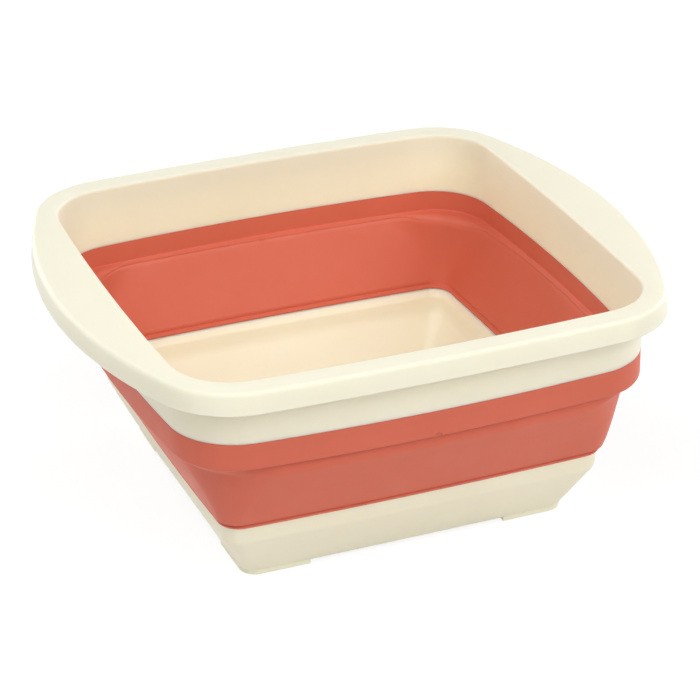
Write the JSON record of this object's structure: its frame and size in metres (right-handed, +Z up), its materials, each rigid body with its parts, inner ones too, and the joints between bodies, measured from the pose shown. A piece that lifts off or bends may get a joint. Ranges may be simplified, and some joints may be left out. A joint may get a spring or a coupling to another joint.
{
  "type": "collapsible camp washbasin",
  "caption": "Square collapsible washbasin with a rigid gripped rim, a folding elastomer wall and a rigid tray on corner feet.",
  "frame": {"origin": "on the ground, under the middle of the tray, with the basin unfolded", "axes": "+Z up, +X along the basin from one grip to the other, +Y from the front side to the back side"},
  "size_m": [0.372, 0.3258, 0.1544],
  "materials": {
    "cream_plastic": "satin moulded",
    "coral_elastomer": "satin moulded elastomer",
    "pale_foot_elastomer": "matte moulded elastomer"
  },
  "bodies": {
    "base": {"base_tray": "cream_plastic", "lower_bead": "coral_elastomer", "foot_front_left": "pale_foot_elastomer", "foot_front_right": "pale_foot_elastomer", "foot_back_left": "pale_foot_elastomer", "foot_back_right": "pale_foot_elastomer"},
    "fold": {"fold_panel": "coral_elastomer"},
    "rim": {"rim_frame": "cream_plastic", "upper_band": "coral_elastomer"}
  },
  "joints": [
    {"name": "rim_slide", "type": "slide", "parent": "base", "child": "rim", "axis": [0, 0, -1], "range_m": [0, 0.092]},
    {"name": "fold_slide", "type": "slide", "parent": "base", "child": "fold", "axis": [0, 0, -1], "range_m": [0, 0.046]}
  ],
  "couplings": [
    {"joint": "fold_slide", "follows": "rim_slide", "ratio": 0.5}
  ]
}
